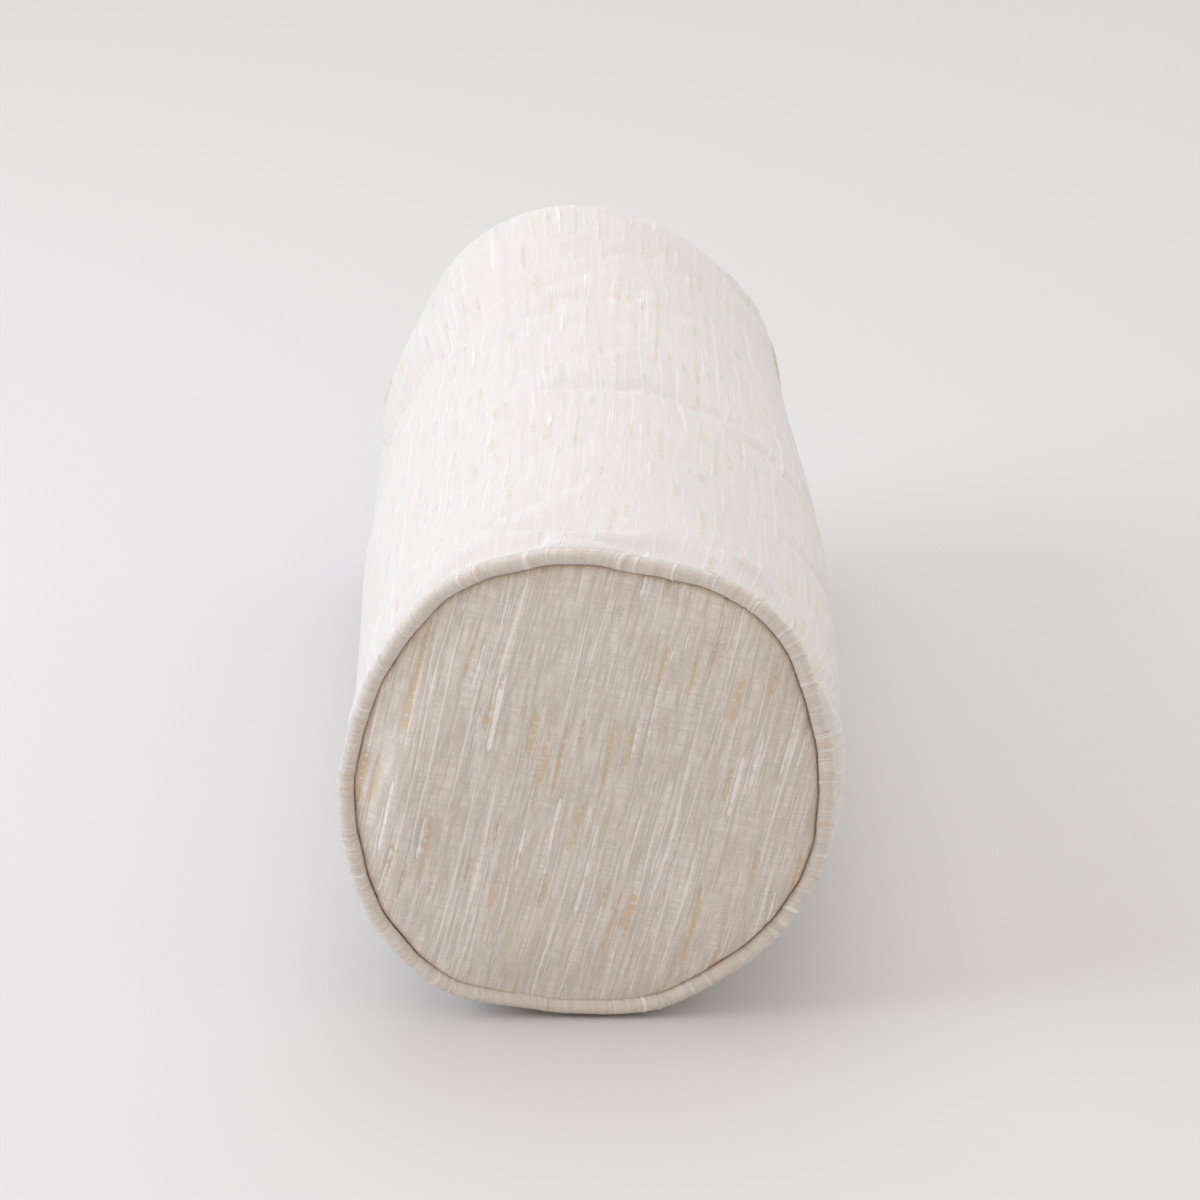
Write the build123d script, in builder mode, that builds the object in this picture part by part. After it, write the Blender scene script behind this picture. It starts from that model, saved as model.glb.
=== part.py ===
"""Bolster pillow: a zipped, piped cover of slub cloth over a sewn insert.

The bolster lies along Y on its flattened underside, +Z up, and the origin is at
the bottom centre of its bounding box. Its front end faces -Y. Sections are drawn
in the XZ plane, and heights at an end are measured outward from its seam plane,
which runs through the middle of the piping.
"""

import os
from math import atan2, cos, degrees, radians, sin, sqrt

from build123d import *

os.makedirs("parts", exist_ok=True)

# ---- driving dimensions, in millimetres ------------------------------------

RADIUS = 89.0  # half the width of the tube
SEAM_LENGTH = 457.0  # from the middle of one piping to the middle of the other
SAG = 3.0  # how far the weight flattens the underside
CORNER = 40.0  # radius where the flat underside turns up
CROWN = 7.0  # how far an end panel swells past its rim

CLOTH = 0.8  # thickness of the cover cloth
GAP = 0.2  # between layers that lie on each other
ALLOWANCE = 11.0  # depth of the seam allowances at the ends
RIM = 3.2  # from the tube's surface in to the fold at the end seam

PIPING_RADIUS = 3.0
CORD_RADIUS = 2.0
THREAD_RADIUS = 0.2

ZIP_ANGLE = 188.0  # round the section from +X: on the left flank, just below its middle
CHAIN_LENGTH = 345.0
SLIT = 1.8  # between the folded edges over the zip
ALLOWANCE_ZIP = 13.0
TAPE = 0.6
TAPE_LENGTH = 372.0
STOP_LENGTH = 3.0

INSERT_INSET = 1.3  # from the tube's surface in to the insert
CASE = 0.4  # thickness of the insert's case
CASE_GAP = 0.1

# ---- places that follow from them --------------------------------------------

HALF = SEAM_LENGTH / 2
AXIS_Z = RADIUS - SAG  # height of the bolster's own axis
PIPING_FLOOR = PIPING_RADIUS  # the piping's centreline stands this far off the floor
TAPER = 7.5  # the tube narrows into the end seam over this length

TAIL_HALF = CLOTH  # the piping's tail is two plies
FLANGE_FRONT = TAIL_HALF + GAP  # where the cover's own allowances start
FLANGE_BACK = FLANGE_FRONT + CLOTH
RIM_TOP = FLANGE_BACK + GAP + CLOTH  # height of an end panel's rim

# Layers under the cloth at the zip, as depths below the tube's surface.
FOLD_TOP = CLOTH + GAP
FOLD_BOTTOM = FOLD_TOP + CLOTH
TAPE_TOP = FOLD_BOTTOM + GAP
TAPE_BOTTOM = TAPE_TOP + TAPE
TEETH_TOP = TAPE_BOTTOM + GAP
TEETH_DEPTH = 2.0
TEETH_BOTTOM = TEETH_TOP + TEETH_DEPTH

FRONT = Plane.XZ
REAR = Plane(origin=(0, 0, 0), x_dir=(-1, 0, 0), z_dir=(0, 1, 0))
ENDS = {"front": FRONT, "rear": REAR}

# Zip plane: x runs the way the slider opens it (-Y), y up the flank, z outward.
_out = (cos(radians(ZIP_ANGLE)), 0, sin(radians(ZIP_ANGLE)))
ZIP = Plane(
    origin=(RADIUS * _out[0], 0, AXIS_Z + RADIUS * _out[2]),
    x_dir=(0, -1, 0),
    z_dir=_out,
)


# ---- shapes that several pieces share ---------------------------------------


def draw_section_wire(inset=0.0, floor=0.0):
    """The bolster's section: a circle with a flat underside, at this inset."""
    radius = RADIUS - inset
    corner = CORNER - inset
    flat = floor + inset
    rise = flat + corner - AXIS_Z
    half_flat = sqrt((radius - corner) ** 2 - rise**2)
    turn = degrees(atan2(rise, half_flat))
    Line((-half_flat, flat), (half_flat, flat))
    CenterArc((half_flat, flat + corner), corner, -90, 90 + turn)
    CenterArc((0, AXIS_Z), radius, turn, 180 - 2 * turn)
    CenterArc((-half_flat, flat + corner), corner, 180 - turn, 90 + turn)


def draw_section(inset=0.0, floor=0.0, mode=Mode.ADD):
    with BuildLine() as outline:
        draw_section_wire(inset, floor)
    make_face(outline.edges(), mode=mode)


def draw_band(depth_top, depth_bottom, start, end, mode=Mode.ADD):
    """A strip concentric with the tube, from one depth to another, between two
    arc lengths measured from the middle of the zip, positive upward."""
    outer, inner = RADIUS - depth_top, RADIUS - depth_bottom
    first = ZIP_ANGLE - degrees(end / RADIUS)
    sweep_angle = degrees((end - start) / RADIUS)
    with BuildLine() as outline:
        top = CenterArc((0, AXIS_Z), outer, first, sweep_angle)
        bottom = CenterArc((0, AXIS_Z), inner, first, sweep_angle)
        Line(top @ 0, bottom @ 0)
        Line(top @ 1, bottom @ 1)
    make_face(outline.edges(), mode=mode)


def draw_insert_section(inset=0.0):
    """The insert's section, with the channel that the soft insert gives to the
    zip: a shallow part under the tapes and a deep one for the slider."""
    tape_half, slider_half = 16.0, 5.4
    tape_depth, slider_depth = 3.5, 6.8
    draw_section(INSERT_INSET + inset)
    draw_band(
        -1, tape_depth + inset, -tape_half - inset, tape_half + inset, Mode.SUBTRACT
    )
    draw_band(
        0,
        slider_depth + inset,
        -slider_half - inset,
        slider_half + inset,
        Mode.SUBTRACT,
    )


def rim_sphere(rim_radius, rim_height, rise):
    """Radius, and height of the centre, of the cap that rises this far."""
    radius = (rim_radius**2 + rise**2) / (2 * rise)
    return radius, rim_height + rise - radius


# ---- the cover ---------------------------------------------------------------


def make_end_panel(plane, label):
    """A domed disc of cloth, folded back at its rim into its seam allowance."""
    reach = HALF + RIM_TOP + CROWN + 1
    radius, centre = rim_sphere(RADIUS - RIM, HALF + RIM_TOP, CROWN)
    with BuildPart() as hollow:
        with BuildSketch(plane.offset(HALF + FLANGE_BACK)):
            draw_section(RIM + CLOTH, PIPING_FLOOR)
        extrude(amount=reach - HALF)
        with Locations(plane.offset(centre) * Location((0, AXIS_Z, 0))):
            Sphere(radius - CLOTH, mode=Mode.INTERSECT)
    with BuildPart() as panel:
        with BuildSketch(plane.offset(HALF + FLANGE_FRONT)):
            draw_section(RIM, PIPING_FLOOR)
        extrude(amount=reach - HALF)
        with Locations(plane.offset(centre) * Location((0, AXIS_Z, 0))):
            Sphere(radius, mode=Mode.INTERSECT)
        add(hollow.part, mode=Mode.SUBTRACT)
        with BuildSketch(plane.offset(HALF + FLANGE_FRONT)):
            draw_section(ALLOWANCE, PIPING_FLOOR)
        extrude(amount=CLOTH, mode=Mode.SUBTRACT)
    panel.part.label = label
    return panel.part


def make_tube_panel():
    """One rectangle of cloth rolled into a tube. Its long edges fold under at the
    zip, and its ends narrow and turn in at the end seams."""
    straight = HALF - FLANGE_FRONT - TAPER
    with BuildPart() as panel:
        with BuildSketch(FRONT.offset(-straight)):
            draw_section()
            draw_section(CLOTH, mode=Mode.SUBTRACT)
        extrude(amount=2 * straight)
        for plane in ENDS.values():
            with BuildSketch(plane.offset(straight)):
                draw_section()
            with BuildSketch(plane.offset(straight + TAPER)):
                draw_section(RIM, PIPING_FLOOR)
            loft()
            with BuildSketch(plane.offset(straight)):
                draw_section(CLOTH)
            with BuildSketch(plane.offset(straight + TAPER)):
                draw_section(RIM + CLOTH, PIPING_FLOOR)
            loft(mode=Mode.SUBTRACT)
            with BuildSketch(plane.offset(HALF - FLANGE_BACK)):
                draw_section(RIM + CLOTH / 2, PIPING_FLOOR)
                draw_section(ALLOWANCE, PIPING_FLOOR, mode=Mode.SUBTRACT)
            extrude(amount=CLOTH)
        for side in (-1, 1):
            edge = side * SLIT / 2
            with BuildSketch(FRONT.offset(-straight)):
                draw_band(FOLD_TOP, FOLD_BOTTOM, *sorted((edge, side * ALLOWANCE_ZIP)))
                draw_band(0, FOLD_BOTTOM, *sorted((edge, edge + side * CLOTH)))
            extrude(amount=2 * straight)
        with BuildSketch(ZIP.offset(1)):
            Rectangle(CHAIN_LENGTH + 2 * STOP_LENGTH + 2, SLIT)
        extrude(amount=-FOLD_BOTTOM - 2, mode=Mode.SUBTRACT)
    panel.part.label = "tube_panel"
    return panel.part


def make_piping(plane, end):
    """The piping at one end: a round cord, and a strip wrapped round it whose
    two edges make the tail that goes into the seam."""
    seam_plane = plane.offset(HALF)
    with BuildLine(seam_plane) as path:
        draw_section_wire(0, PIPING_FLOOR)
    start = path.wire() @ 0
    across = Plane(origin=start, z_dir=path.wire() % 0)
    with BuildPart() as cord:
        with BuildSketch(across):
            Circle(CORD_RADIUS)
        sweep(path=path.wire())
    cord.part.label = f"piping_cord_{end}"
    tail_start = (PIPING_RADIUS + CORD_RADIUS) / 2
    with BuildPart() as cover:
        with BuildSketch(across):
            Circle(PIPING_RADIUS)
            Circle(CORD_RADIUS + CASE_GAP, mode=Mode.SUBTRACT)
        sweep(path=path.wire())
        with BuildSketch(plane.offset(HALF - TAIL_HALF)):
            draw_section(tail_start, PIPING_FLOOR)
            draw_section(ALLOWANCE, PIPING_FLOOR, mode=Mode.SUBTRACT)
        extrude(amount=2 * TAIL_HALF)
    cover.part.label = f"piping_cover_{end}"
    return cord.part, cover.part


def make_seam_thread(plane, label):
    """The line of sewing thread that holds an end seam, close to the piping."""
    height = HALF - FLANGE_BACK - GAP - THREAD_RADIUS
    inset = RIM + 3 * CLOTH
    with BuildLine(plane.offset(height)) as path:
        draw_section_wire(inset, PIPING_FLOOR)
    start = path.wire() @ 0
    with BuildPart() as thread:
        with BuildSketch(Plane(origin=start, z_dir=path.wire() % 0)):
            Circle(THREAD_RADIUS)
        sweep(path=path.wire())
    thread.part.label = label
    return thread.part


# ---- the zip -------------------------------------------------------------------


def make_zip_tape(side, label):
    """A woven tape under the folded edge of the cover, on one side of the slit."""
    with BuildPart() as tape:
        with BuildSketch(FRONT.offset(-TAPE_LENGTH / 2)):
            draw_band(
                TAPE_TOP,
                TAPE_BOTTOM,
                *sorted((side * SLIT / 2, side * ALLOWANCE_ZIP)),
            )
        extrude(amount=TAPE_LENGTH)
    tape.part.label = label
    return tape.part


TEETH_INNER, TEETH_OUTER = 0.8, 3.2  # across the zip, from its middle
TOOTH_PITCH = 2.0


def make_zip_teeth(side, label):
    """The row of teeth along a tape's edge, joined by the coil's outer side."""
    back_width = 0.9
    depth = TEETH_OUTER - TEETH_INNER
    count = int(CHAIN_LENGTH / TOOTH_PITCH)
    with BuildPart() as teeth:
        with BuildSketch(ZIP.offset(-TEETH_BOTTOM)):
            with Locations((0, side * (TEETH_OUTER - back_width / 2))):
                Rectangle(CHAIN_LENGTH, back_width)
            with Locations((0, side * (TEETH_INNER + depth / 2))):
                with GridLocations(TOOTH_PITCH, 1, count, 1):
                    Rectangle(TOOTH_PITCH / 2, depth)
        extrude(amount=TEETH_DEPTH)
    teeth.part.label = label
    return teeth.part


def make_zip_stops():
    """The two small stops at the closed end, and the wide one at the open end."""
    inner, outer = 0.75, 3.9
    middle = CHAIN_LENGTH / 2 + STOP_LENGTH / 2 + GAP
    thickness = TEETH_DEPTH
    with BuildPart() as top:
        with BuildSketch(ZIP.offset(-TEETH_BOTTOM)):
            for side in (-1, 1):
                with Locations((-middle, side * (inner + outer) / 2)):
                    RectangleRounded(STOP_LENGTH, outer - inner, 0.5)
        extrude(amount=thickness)
    top.part.label = "zip_top_stops"
    with BuildPart() as bottom:
        with BuildSketch(ZIP.offset(-TEETH_BOTTOM)):
            with Locations((middle, 0)):
                RectangleRounded(STOP_LENGTH, 2 * outer, 0.8)
        extrude(amount=thickness)
    bottom.part.label = "zip_bottom_stop"
    return top.part, bottom.part


SLIDER_HALF = 5.5
PARKED = -(CHAIN_LENGTH / 2 - SLIDER_HALF - 0.1)  # along the zip, at its closed end
SLIDER = Plane(
    origin=ZIP.from_local_coords(Vector(PARKED, 0, 0)),
    x_dir=ZIP.x_dir,
    z_dir=ZIP.z_dir,
)
# Lugs, pin and eye are drawn on a plane across the zip: x along it, y outward.
ACROSS = Plane(origin=SLIDER.origin, x_dir=ZIP.x_dir, z_dir=-ZIP.y_dir)
WALL_INNER, WALL_OUTER = 3.45, 4.25
PLATE = 0.9
NECK = 1.0
HINGE_HEIGHT = 2.6
EYE_RADIUS = 1.2
PIN_RADIUS = 0.5
PIN_CLEARANCE = 0.08
LUG_INNER, LUG_OUTER = 1.3, 2.0
TAB_THICKNESS = 0.8


def make_zip_slider():
    """The slider: a channel under the teeth, a thin neck through the slit and a
    small deck on the outside with two lugs and a pin for the pull tab."""
    channel_floor = TEETH_BOTTOM + 0.25
    wall_top = TEETH_TOP + 0.1
    end_round = 1.5
    deck_bottom, deck_thickness = 0.35, 0.7
    with BuildPart() as slider:
        with BuildSketch(SLIDER.offset(-channel_floor - PLATE)):
            RectangleRounded(2 * SLIDER_HALF, 2 * WALL_OUTER, end_round)
        extrude(amount=PLATE)
        with BuildSketch(SLIDER.offset(-channel_floor)):
            for side in (-1, 1):
                with Locations((0, side * (WALL_INNER + WALL_OUTER) / 2)):
                    Rectangle(2 * (SLIDER_HALF - end_round), WALL_OUTER - WALL_INNER)
        extrude(amount=channel_floor - wall_top)
        with BuildSketch(SLIDER.offset(-channel_floor)):
            SlotOverall(4.0, NECK)
        extrude(amount=channel_floor + deck_bottom)
        with BuildSketch(SLIDER.offset(deck_bottom)):
            RectangleRounded(9.0, 2 * LUG_OUTER, 1.2)
        extrude(amount=deck_thickness)
        for near in (LUG_INNER, -LUG_OUTER):
            with BuildSketch(ACROSS.offset(near)):
                with Locations((0, HINGE_HEIGHT)):
                    Circle(EYE_RADIUS)
                with Locations((0, (HINGE_HEIGHT + deck_bottom) / 2)):
                    Rectangle(2 * EYE_RADIUS, HINGE_HEIGHT - deck_bottom)
            extrude(amount=LUG_OUTER - LUG_INNER)
        with BuildSketch(ACROSS.offset(-LUG_OUTER)):
            with Locations((0, HINGE_HEIGHT)):
                Circle(PIN_RADIUS)
        extrude(amount=2 * LUG_OUTER)
    slider.part.label = "zip_slider"
    return slider.part


def make_zip_pull_tab():
    """The pull tab: an eye on the slider's pin, and a drop-shaped blade with a
    slot, lying along the closed zip."""
    eye_half = LUG_INNER - 0.3
    neck_end, blade_start, blade_end = 3.4, 5.8, 21.0
    start_half, blade_half = 2.2, 3.2
    tip = blade_end - blade_half
    with BuildPart() as tab:
        with BuildSketch(ACROSS.offset(-eye_half)):
            with Locations((0, HINGE_HEIGHT)):
                Circle(EYE_RADIUS)
        extrude(amount=2 * eye_half)
        with BuildSketch(SLIDER.offset(HINGE_HEIGHT - TAB_THICKNESS / 2)):
            with Locations((neck_end / 2, 0)):
                Rectangle(neck_end, 2 * eye_half)
            with BuildLine():
                Polyline(
                    (tip, blade_half),
                    (blade_start, start_half),
                    (neck_end - 0.6, eye_half),
                    (neck_end - 0.6, -eye_half),
                    (blade_start, -start_half),
                    (tip, -blade_half),
                )
                ThreePointArc((tip, -blade_half), (blade_end, 0), (tip, blade_half))
            make_face()
            with Locations((tip - blade_half - 1, 0)):
                SlotOverall(7.0, 2.4, mode=Mode.SUBTRACT)
        extrude(amount=TAB_THICKNESS)
        with BuildSketch(ACROSS.offset(-eye_half - 1)):
            with Locations((0, HINGE_HEIGHT)):
                Circle(PIN_RADIUS + PIN_CLEARANCE)
        extrude(amount=2 * eye_half + 2, mode=Mode.SUBTRACT)
    tab.part.label = "zip_pull_tab"
    return tab.part


def make_zip_stitching():
    """The two lines of thread that hold the tapes to the folded edges."""
    line_arc = 7.0
    depth = TAPE_BOTTOM + GAP / 2 + THREAD_RADIUS
    with BuildPart() as stitching:
        with BuildSketch(FRONT.offset(-TAPE_LENGTH / 2)):
            for side in (-1, 1):
                angle = radians(ZIP_ANGLE) - side * line_arc / RADIUS
                reach = RADIUS - depth
                with Locations((reach * cos(angle), AXIS_Z + reach * sin(angle))):
                    Circle(THREAD_RADIUS)
        extrude(amount=TAPE_LENGTH)
    stitching.part.label = "zip_stitching"
    return stitching.part


def make_tube_seam_thread():
    """The thread that closes the tube's long seam past each end of the zip."""
    start, end = CHAIN_LENGTH / 2 + STOP_LENGTH + 4, HALF - FLANGE_FRONT - TAPER - 2
    depth = (CLOTH + FOLD_BOTTOM) / 2
    with BuildPart() as thread:
        for towards in (-1, 1):
            with BuildSketch(FRONT.offset(towards * start)):
                reach = RADIUS - depth
                angle = radians(ZIP_ANGLE)
                with Locations((reach * cos(angle), AXIS_Z + reach * sin(angle))):
                    Circle(THREAD_RADIUS)
            extrude(amount=towards * (end - start))
    thread.part.label = "tube_seam_thread"
    return thread.part


# ---- the insert ----------------------------------------------------------------

INSERT_SHOULDER = HALF - 10.0  # where the insert's ends begin to round off
INSERT_RIM = 70.0
INSERT_RIM_HEIGHT = HALF - 2.4


def make_insert_solid(inset):
    """The insert's outer form at this inset: its section run along the bolster,
    with a sloping shoulder and a shallow dome at each end."""
    top = HALF + FLANGE_BACK + CROWN - inset
    outside = RADIUS + 6
    slope = (INSERT_RIM_HEIGHT - INSERT_SHOULDER) / (RADIUS - INSERT_INSET - INSERT_RIM)
    outside_height = INSERT_RIM_HEIGHT - slope * (outside - INSERT_RIM) - inset
    rim_height = INSERT_RIM_HEIGHT - inset
    rise = top - rim_height
    radius, centre = rim_sphere(INSERT_RIM, rim_height, rise)
    halfway = INSERT_RIM / 2
    with BuildPart() as envelope:
        with BuildSketch(Plane(origin=(0, 0, AXIS_Z), x_dir=(1, 0, 0), z_dir=(0, 0, 1))):
            with BuildLine():
                Polyline(
                    (0, top),
                    (0, 0),
                    (outside, 0),
                    (outside, outside_height),
                    (INSERT_RIM, rim_height),
                )
                ThreePointArc(
                    (INSERT_RIM, rim_height),
                    (halfway, centre + sqrt(radius**2 - halfway**2)),
                    (0, top),
                )
            make_face()
        revolve(axis=Axis((0, 0, AXIS_Z), (0, 1, 0)))
        mirror(about=Plane.XZ)
    with BuildPart() as solid:
        with BuildSketch(FRONT.offset(-HALF - 2 * CROWN)):
            draw_insert_section(inset)
        extrude(amount=2 * (HALF + 2 * CROWN))
        add(envelope.part, mode=Mode.INTERSECT)
    return solid.part


def make_insert():
    """The insert: a sewn case of three panels, and its filling."""
    outer = make_insert_solid(0)
    inner = make_insert_solid(CASE)
    pieces = {}
    spans = {
        "insert_end_front": (-HALF - 2 * CROWN, -INSERT_SHOULDER - CASE_GAP),
        "insert_tube": (-INSERT_SHOULDER, INSERT_SHOULDER),
        "insert_end_rear": (INSERT_SHOULDER + CASE_GAP, HALF + 2 * CROWN),
    }
    for name, (low, high) in spans.items():
        with BuildPart() as piece:
            add(outer)
            add(inner, mode=Mode.SUBTRACT)
            with Locations((0, (low + high) / 2, AXIS_Z)):
                Box(3 * RADIUS, high - low, 3 * RADIUS, mode=Mode.INTERSECT)
        piece.part.label = name
        pieces[name] = piece.part
    filling = make_insert_solid(CASE + CASE_GAP)
    filling.label = "insert_filling"
    pieces["insert_filling"] = filling
    return pieces


# ---- build and write -----------------------------------------------------------

parts = [make_tube_panel()]
for end, plane in ENDS.items():
    parts.append(make_end_panel(plane, f"end_panel_{end}"))
    parts.extend(make_piping(plane, end))
    parts.append(make_seam_thread(plane, f"seam_thread_{end}"))
for side, place in ((1, "upper"), (-1, "lower")):
    parts.append(make_zip_tape(side, f"zip_tape_{place}"))
    parts.append(make_zip_teeth(side, f"zip_teeth_{place}"))
parts.extend(make_zip_stops())
parts.append(make_zip_slider())
parts.append(make_zip_pull_tab())
parts.append(make_zip_stitching())
parts.append(make_tube_seam_thread())
parts.extend(make_insert().values())

for part in parts:
    export_step(part, f"parts/{part.label}.step")
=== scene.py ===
"""Looks of the bolster pillow: its slub cloth, piping, zip and insert.

Lengths in the shape code are in millimetres and become metres when a mesh is made.
The section is followed clockwise as seen from the front, by the fraction of the way
round from the zip: up the left flank, over the top and back along the underside.
"""

import math

import bpy
import numpy as np
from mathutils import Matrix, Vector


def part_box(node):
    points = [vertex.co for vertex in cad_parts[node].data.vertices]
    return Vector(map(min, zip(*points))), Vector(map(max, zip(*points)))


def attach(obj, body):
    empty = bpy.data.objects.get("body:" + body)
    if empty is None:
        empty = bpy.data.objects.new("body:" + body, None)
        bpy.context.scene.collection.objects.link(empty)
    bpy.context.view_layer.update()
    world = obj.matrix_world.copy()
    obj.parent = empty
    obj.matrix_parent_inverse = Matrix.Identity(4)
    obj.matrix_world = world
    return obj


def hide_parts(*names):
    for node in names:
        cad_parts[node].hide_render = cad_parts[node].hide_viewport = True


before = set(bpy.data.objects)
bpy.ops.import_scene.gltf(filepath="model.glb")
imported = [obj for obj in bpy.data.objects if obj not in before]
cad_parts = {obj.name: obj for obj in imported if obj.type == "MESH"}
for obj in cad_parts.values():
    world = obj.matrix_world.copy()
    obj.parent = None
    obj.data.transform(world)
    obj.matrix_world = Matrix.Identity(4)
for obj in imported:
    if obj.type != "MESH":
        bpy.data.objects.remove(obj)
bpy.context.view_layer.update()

MM = 0.001
TAU = 2 * math.pi
ENDS = {"front": -1, "rear": 1}  # the side of the middle that each end is on


def size_of(node):
    low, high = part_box(node)
    return np.array(low) / MM, np.array(high) / MM


# ---- sizes, from the CAD -----------------------------------------------------

tube_low, tube_high = size_of("tube_panel")
front_piping_low, front_piping_high = size_of("piping_cover_front")
RADIUS = (tube_high[0] - tube_low[0]) / 2
AXIS_Z = tube_high[2] - RADIUS
PIPING_RADIUS = (front_piping_high[1] - front_piping_low[1]) / 2
HALF = -(front_piping_low[1] + front_piping_high[1]) / 2
CORNER = 40.0  # radius where the flat underside turns up
SEAM_CORNER = 76.0  # the same at an end seam, which the filling presses down less
ZIP_ANGLE = 188.0  # round the section from +X, in degrees
ZIP_HALF = 176.5  # half the length of the slit
RIM = 3.2  # from the seam's outline in to the fold of the cloth

OUTLINE_STEP = 0.1
OUTLINE_SAMPLES = 6000


def arc_span(x, z, radius, start, end):
    """Points and outward normals along an arc, clockwise between two angles."""
    count = int(radius * math.radians(abs(start - end)) / OUTLINE_STEP)
    angle = np.radians(np.linspace(start, end, count, endpoint=False))
    way = np.stack([np.cos(angle), np.sin(angle)], 1)
    return np.array([x, z]) + radius * way, way


def outline(floor, corner):
    """Closely spaced points and outward normals round the section, from the zip."""
    rise = floor + corner - AXIS_Z
    half_flat = math.sqrt((RADIUS - corner) ** 2 - rise**2)
    turn = math.degrees(math.atan2(rise, half_flat))
    under = np.arange(0, 2 * half_flat, OUTLINE_STEP)
    underside = np.stack([half_flat - under, np.full_like(under, floor)], 1)
    pieces = [
        arc_span(0, AXIS_Z, RADIUS, ZIP_ANGLE, turn),
        arc_span(half_flat, floor + corner, corner, turn, -90),
        (underside, np.tile([0.0, -1.0], (len(under), 1))),
        arc_span(-half_flat, floor + corner, corner, -90, -180 - turn),
        arc_span(0, AXIS_Z, RADIUS, -180 - turn, ZIP_ANGLE - 360),
    ]
    points, normals = (np.concatenate(part) for part in zip(*pieces))
    closed = np.concatenate([points, points[:1]])
    length = np.concatenate([[0], np.cumsum(np.hypot(*np.diff(closed, axis=0).T))])
    even = np.linspace(0, length[-1], OUTLINE_SAMPLES + 1)
    out = []
    for values in (points, normals):
        looped = np.concatenate([values, values[:1]])
        out.append(np.stack([np.interp(even, length, looped[:, k]) for k in (0, 1)], 1))
    return out[0], out[1], length[-1]


FLAT_POINTS, FLAT_NORMALS, PERIMETER = outline(0.0, CORNER)
SEAM_POINTS, SEAM_NORMALS, _ = outline(PIPING_RADIUS, SEAM_CORNER)


def along_outline(table, s):
    """The table's rows at these fractions of the way round."""
    place = np.mod(s, 1.0) * OUTLINE_SAMPLES
    low = np.floor(place).astype(int)
    part = (place - low)[..., None]
    return table[low] * (1 - part) + table[np.minimum(low + 1, OUTLINE_SAMPLES)] * part


def smooth(x):
    x = np.clip(x, 0, 1)
    return x * x * (3 - 2 * x)


def bump(x, middle, width):
    return np.exp(-(((x - middle) / width) ** 2))


def angle_of(points):
    """Angle round the section of points given as x and z, in degrees."""
    return np.degrees(np.arctan2(points[..., 1] - AXIS_Z, points[..., 0]))


def turned(angle, middle):
    """Difference of two angles in degrees, from -180 to 180."""
    return (angle - middle + 180) % 360 - 180


# Where the filling pushes the cloth out and where it sinks: angle round the
# section, its spread, distance along, its spread, and how far.
SWELLS = [
    (121, 22, -228, 60, 6.5),
    (52, 20, -228, 60, 4.6),
    (92, 18, -228, 30, 2.2),
    (0, 30, -228, 9, -6.0),
    (12, 26, -200, 40, -2.6),
    (-128, 16, -232, 40, 1.8),
    (-52, 26, -228, 60, -5.5),
    (-150, 20, -228, 40, 1.5),
    (-106, 13, -228, 40, -3.5),
    (12, 36, -45, 190, 9.5),
    (90, 42, -40, 130, 2.0),
    (165, 26, -40, 70, 3.2),
    (160, 26, 97, 22, -3.4),
    (150, 30, 140, 26, 1.6),
    (98, 42, 190, 60, 10.5),
    (95, 60, 231, 15, -13.0),
    (152, 20, 205, 42, -4.5),
    (165, 26, 232, 36, -7.0),
    (38, 18, 215, 34, 1.0),
]
# Soft folds across the top: distance along, spread, middle angle, spread, slant, depth.
FOLDS = [
    (-20, 7, 70, 50, 0.10, -0.7),
    (14, 8, 105, 46, -0.08, -0.6),
    (60, 9, 80, 60, 0.12, -0.8),
    (101, 8, 120, 50, -0.15, -0.8),
    (150, 10, 75, 45, 0.05, -0.5),
    (-95, 9, 100, 40, 0.06, -0.4),
]


ZIP_CALM = (7, 16)  # degrees from the zip where swells start, and over which they grow
FLOOR_CALM = (2, 30)  # the same in height above the floor
END_DROP = 24  # how much lower they start at an end seam, which the floor presses less
END_REACH = 40  # length from an end seam over which they start lower


def swelling(points, y):
    """How far the cloth stands out from the plain section, in mm."""
    angle = angle_of(points)
    total = np.zeros(np.broadcast(angle, y).shape)
    for middle, width, place, reach, amount in SWELLS:
        total += amount * bump(turned(angle, middle), 0, width) * bump(y, place, reach)
    for place, reach, middle, width, slant, amount in FOLDS:
        across = turned(angle, middle)
        total += amount * bump(y + slant * across, place, reach) * bump(across, 0, width)
    from_zip = np.abs(turned(angle, ZIP_ANGLE))
    total *= smooth((from_zip - ZIP_CALM[0]) / ZIP_CALM[1])
    near_end = smooth((np.abs(y) - HALF + END_REACH) / END_REACH)
    above = FLOOR_CALM[0] - END_DROP * near_end
    return total * smooth((points[..., 1] - above) / FLOOR_CALM[1])


LEANS = (8.0, 1.0)  # how far the top of the front and rear ends leans in
LEAN_START = 90.0  # distance from the middle where the lean starts


def leaned(y, z):
    """Distance along the bolster, once its ends lean in towards the top."""
    near_end = smooth((np.abs(y) - LEAN_START) / (HALF - LEAN_START))
    lean = np.where(y < 0, *LEANS)
    return y - np.sign(y) * lean * near_end * z / (2 * RADIUS)


SHOULDER = 9.0  # length over which the tube narrows into the end seam
SEAM_SEED = 3.0
# Uneven steps of a hand-guided seam: waves round the seam, size and offset.
SEAM_WAVES = [(7, 0.22, 0.3), (13, 0.20, 2.1), (29, 0.12, 4.0)]


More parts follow.
